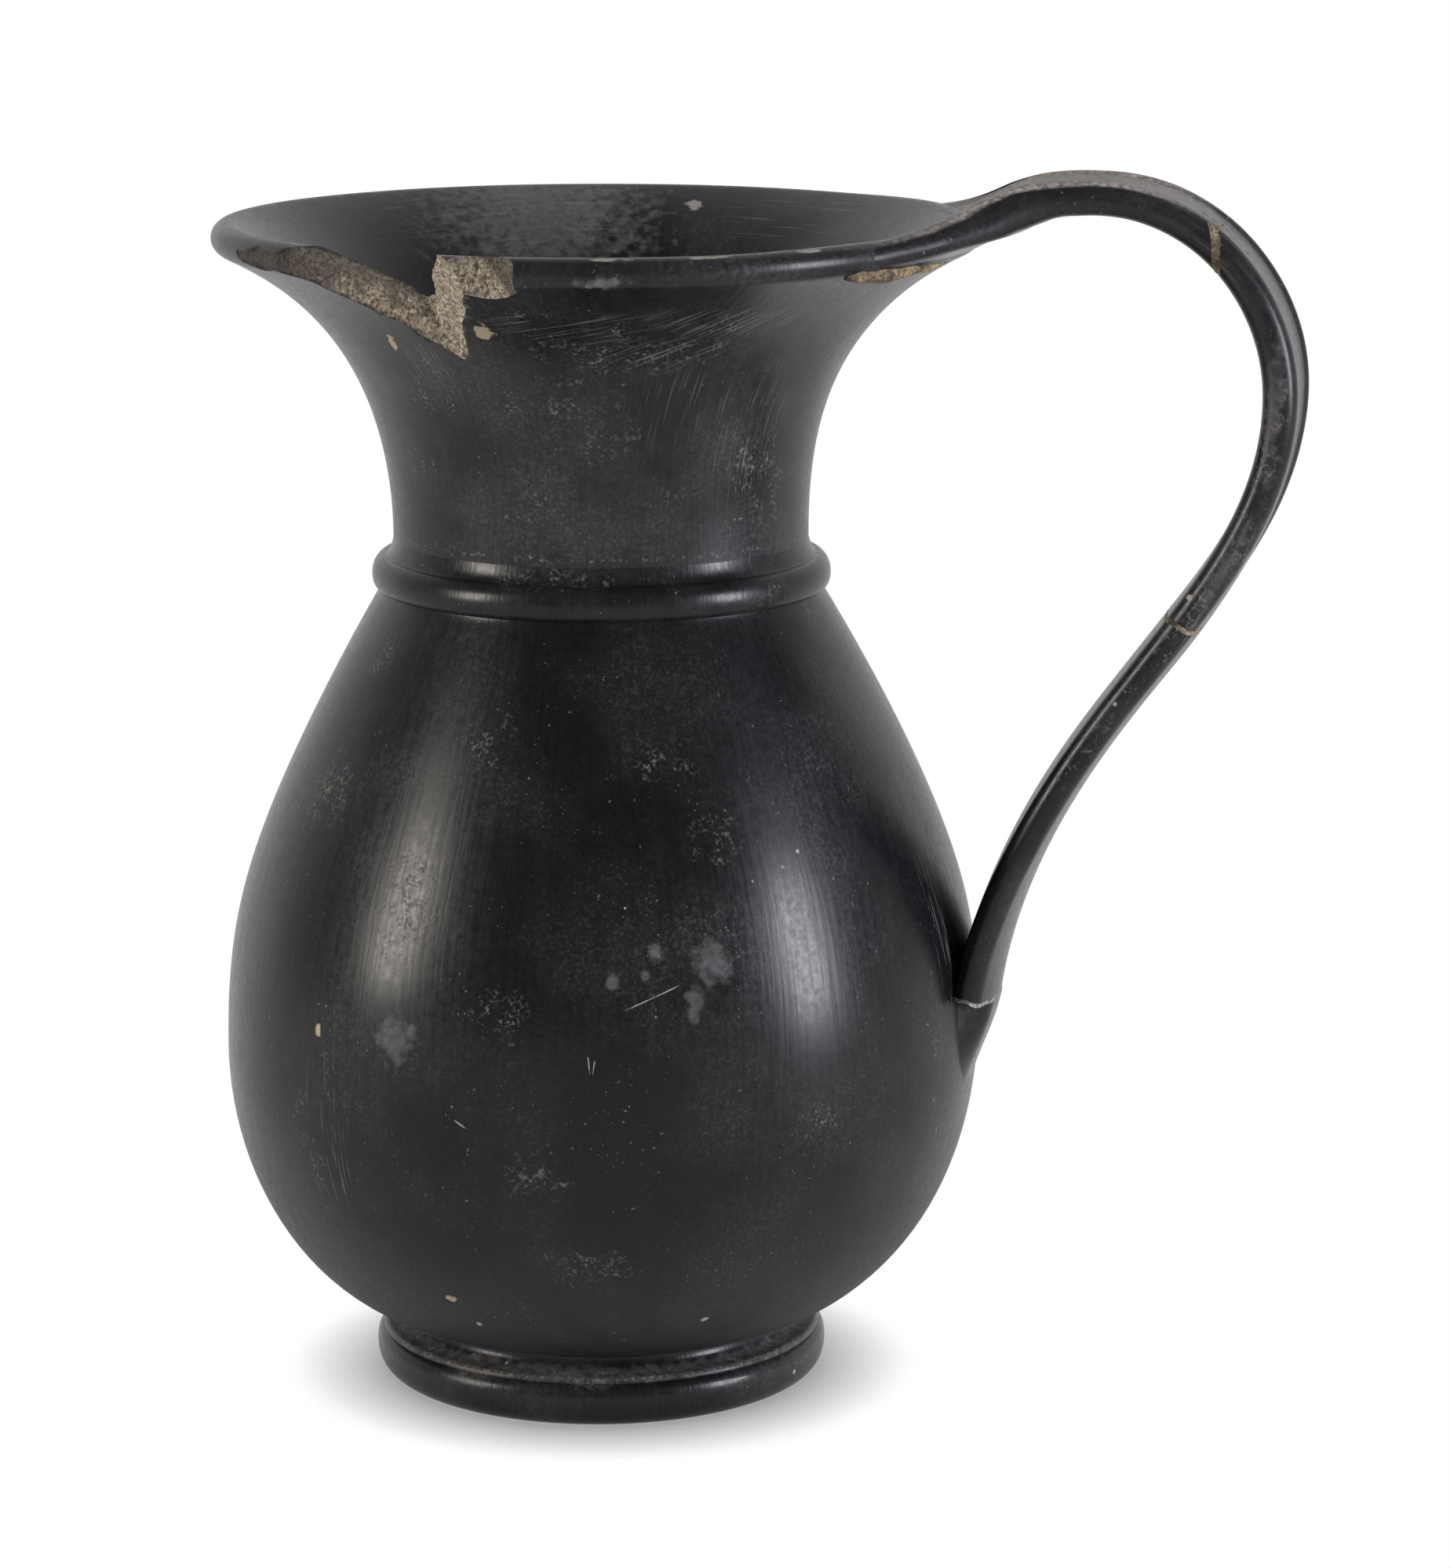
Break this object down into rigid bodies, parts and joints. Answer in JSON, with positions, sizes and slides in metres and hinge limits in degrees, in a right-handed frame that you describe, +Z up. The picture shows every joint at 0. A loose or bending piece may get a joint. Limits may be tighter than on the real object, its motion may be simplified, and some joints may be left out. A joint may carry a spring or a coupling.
{
  "type": "olpe",
  "caption": "Round-bellied black clay pouring jug with a trumpet mouth, a moulded neck joint, a ring foot and a high strap handle, chipped at the rim and mended along the handle.",
  "frame": {"origin": "under the middle of the whole outline, on the surface that the foot stands on", "axes": "+Z up along the vessel's axis, +X from the vessel toward the handle, +Y completes the frame"},
  "size_m": [0.208, 0.1464, 0.2361],
  "materials": {
    "black_burnished_clay": "burnished",
    "tan_filling": "matte"
  },
  "bodies": {
    "root": {"foot_ring": "black_burnished_clay", "belly": "black_burnished_clay", "cordon": "black_burnished_clay", "neck_and_mouth": "black_burnished_clay", "handle_upper": "black_burnished_clay", "handle_middle": "black_burnished_clay", "handle_lower": "black_burnished_clay", "handle_root": "black_burnished_clay", "upper_mend": "tan_filling", "middle_mend": "tan_filling", "root_mend": "tan_filling", "rim_mend": "tan_filling"}
  },
  "joints": []
}
